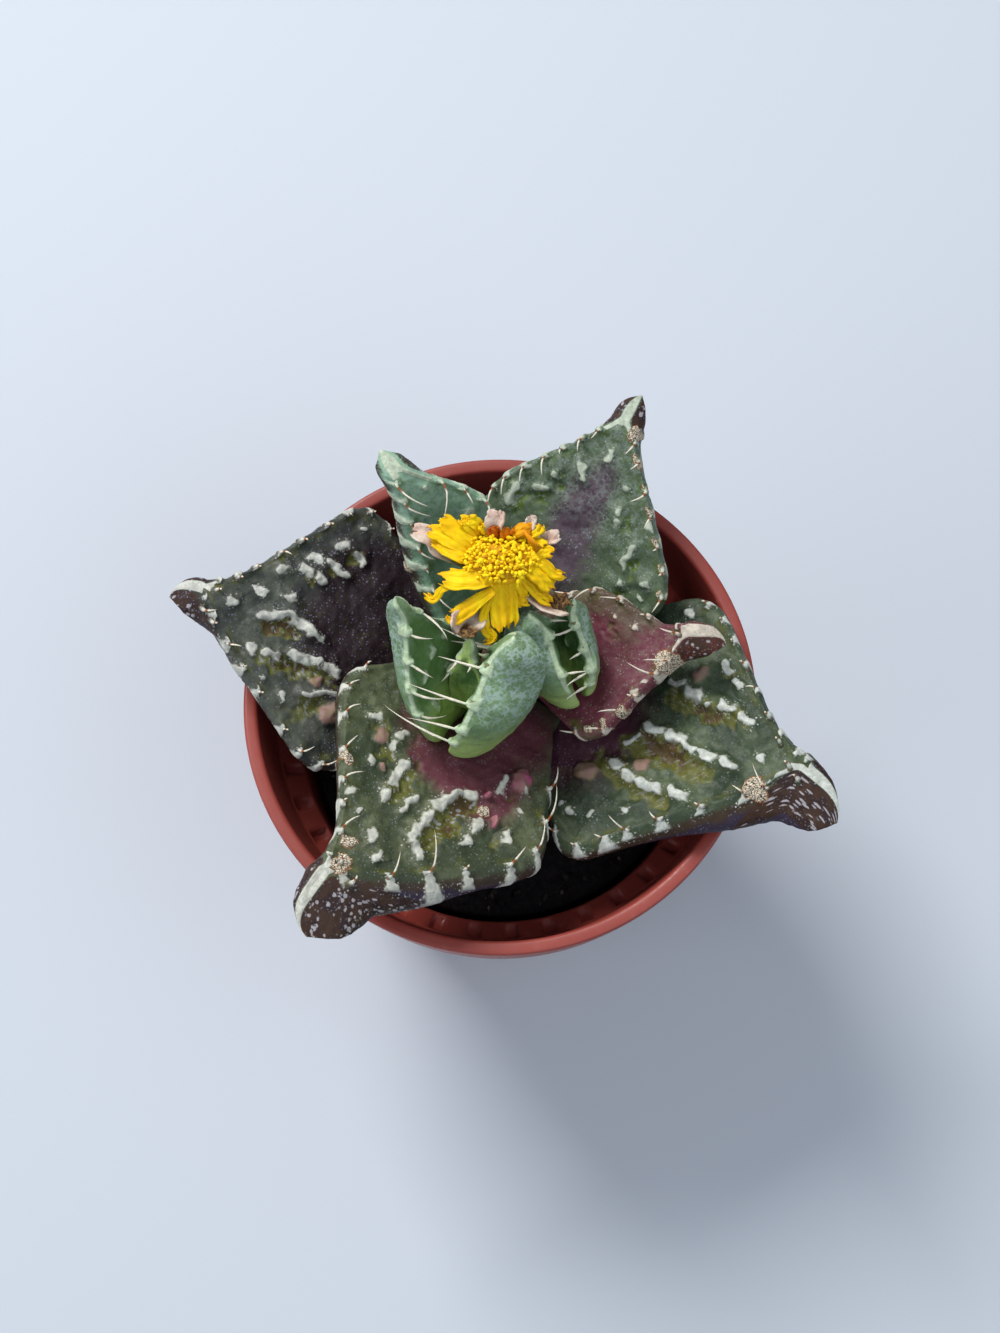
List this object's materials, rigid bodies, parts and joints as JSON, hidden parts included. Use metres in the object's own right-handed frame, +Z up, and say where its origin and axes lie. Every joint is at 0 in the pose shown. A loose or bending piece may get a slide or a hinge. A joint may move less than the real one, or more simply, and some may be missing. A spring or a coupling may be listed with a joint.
{
  "type": "potted tiger jaws",
  "caption": "Small toothed-leaf succulent in a round terracotta-coloured plastic nursery pot with a collar, with a withered yellow flower over its centre.",
  "frame": {"origin": "middle of the underside of the pot, on the surface that it stands on", "axes": "+Z up along the pot's axis; -Y is the side that the picture was taken from, +X to its right"},
  "size_m": [0.0694, 0.0578, 0.0673],
  "materials": {
    "pot_plastic": "brick red moulded plastic, satin",
    "potting_mix": "dark dry potting mix, crumbly",
    "stem": "short woody crown",
    "leaf_old": "dark olive succulent skin flushed with purple, white warts and teeth",
    "leaf_red": "wine red succulent skin with pale teeth",
    "leaf_young": "bluish green succulent skin with pale oval marks and teeth",
    "calyx": "green cup with dry papery sepals",
    "petals": "limp yellow petals with orange creases",
    "stamens": "granular yellow stamens"
  },
  "bodies": {
    "root": {"pot": "pot_plastic", "soil": "potting_mix", "stem": "stem", "leaf_outer_left": "leaf_old", "leaf_outer_front": "leaf_old", "leaf_outer_right": "leaf_old", "leaf_outer_back": "leaf_old", "leaf_inner_back": "leaf_young", "leaf_inner_right": "leaf_red", "front_shoot_leaf_left": "leaf_young", "front_shoot_leaf_right": "leaf_young", "front_shoot_heart_leaf": "leaf_young", "right_shoot_leaf_left": "leaf_young", "right_shoot_leaf_right": "leaf_young", "flower_calyx": "calyx", "flower_petals": "petals", "flower_stamens": "stamens"}
  },
  "joints": []
}
